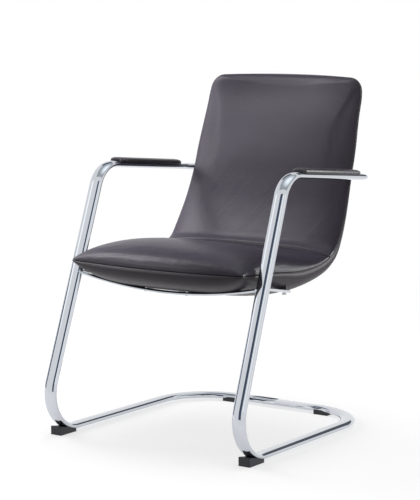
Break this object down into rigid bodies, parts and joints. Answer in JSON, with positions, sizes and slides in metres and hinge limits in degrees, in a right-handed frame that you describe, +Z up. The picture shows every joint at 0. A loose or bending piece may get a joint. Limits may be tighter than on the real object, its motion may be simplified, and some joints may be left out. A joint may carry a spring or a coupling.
{
  "type": "sled base visitor chair",
  "caption": "Visitor chair on a sprung sled frame of bent flat oval chromed tube, with padded arms and an upholstered one-piece seat and back shell.",
  "frame": {"origin": "on the floor under the middle of the chair's bounding box", "axes": "+Z up, the chair faces -Y; left (-X) and right (+X) in the names are as seen from the front"},
  "size_m": [0.5948, 0.6818, 0.8774],
  "materials": {
    "chrome": "bright chromed steel tube and bar",
    "zinc_steel": "zinc plated bolts, screws, inserts and sleeves",
    "cover_leather": "dark brown-grey smooth leather on the outer side of the shell",
    "seat_leather": "dark brown-grey smooth leather, semi-matt with a soft sheen",
    "pad_leather": "near black leather, satin",
    "shell_plastic": "moulded inner shell, hidden",
    "black_plastic": "black moulded plastic, matt"
  },
  "bodies": {
    "root": {"base_joint_sleeve": "zinc_steel", "arm_bar_joint_sleeve": "zinc_steel", "seat_front_crossbar": "chrome", "frame_tube_left": "chrome", "seat_rail_left": "chrome", "seat_block_left": "black_plastic", "back_spacer_left": "black_plastic", "arm_pad_plate_left": "black_plastic", "arm_pad_left": "pad_leather", "arm_pad_screw_front_left": "zinc_steel", "arm_pad_screw_rear_left": "zinc_steel", "front_foot_left": "black_plastic", "rear_foot_left": "black_plastic", "front_foot_screw_left": "zinc_steel", "rear_foot_screw_left": "zinc_steel", "frame_tube_right": "chrome", "seat_rail_right": "chrome", "seat_block_right": "black_plastic", "back_spacer_right": "black_plastic", "arm_pad_plate_right": "black_plastic", "arm_pad_right": "pad_leather", "arm_pad_screw_front_right": "zinc_steel", "arm_pad_screw_rear_right": "zinc_steel", "front_foot_right": "black_plastic", "rear_foot_right": "black_plastic", "front_foot_screw_right": "zinc_steel", "rear_foot_screw_right": "zinc_steel", "moulded_shell": "shell_plastic", "outer_cover": "cover_leather", "seat_cushion": "seat_leather", "back_cushion": "seat_leather", "seat_bolt_front_left": "zinc_steel", "shell_insert_front_left": "zinc_steel", "seat_bolt_rear_left": "zinc_steel", "shell_insert_rear_left": "zinc_steel", "seat_bolt_back_left": "zinc_steel", "shell_insert_back_left": "zinc_steel", "seat_bolt_front_right": "zinc_steel", "shell_insert_front_right": "zinc_steel", "seat_bolt_rear_right": "zinc_steel", "shell_insert_rear_right": "zinc_steel", "seat_bolt_back_right": "zinc_steel", "shell_insert_back_right": "zinc_steel"}
  },
  "joints": []
}
